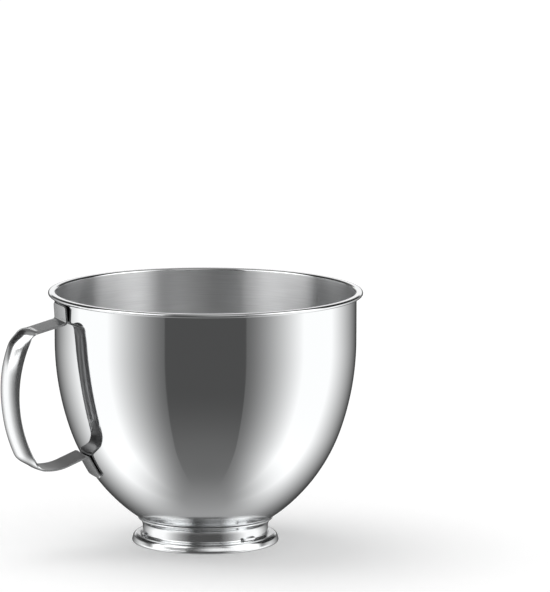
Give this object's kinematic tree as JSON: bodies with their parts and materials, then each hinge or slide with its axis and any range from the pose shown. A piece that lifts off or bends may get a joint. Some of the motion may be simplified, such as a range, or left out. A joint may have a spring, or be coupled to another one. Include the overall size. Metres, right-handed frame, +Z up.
{
  "type": "stand mixer bowl",
  "caption": "Polished steel mixing bowl with a hemmed rim, rounded body, flared foot ring that locks with a twist, and a loop handle bent from one arched strap.",
  "frame": {"origin": "on the bowl's axis, in the plane that the foot ring stands on", "axes": "+Z up along the bowl's axis; the handle points along -X, so the XZ plane halves the bowl and the handle"},
  "size_m": [0.2666, 0.226, 0.1828],
  "materials": {
    "bowl": "mirror polished outside, fine horizontal brushing inside",
    "foot_ring": "mirror polished",
    "handle": "mirror polished"
  },
  "bodies": {
    "root": {"bowl": "bowl", "foot_ring": "foot_ring", "handle": "handle"}
  },
  "joints": []
}
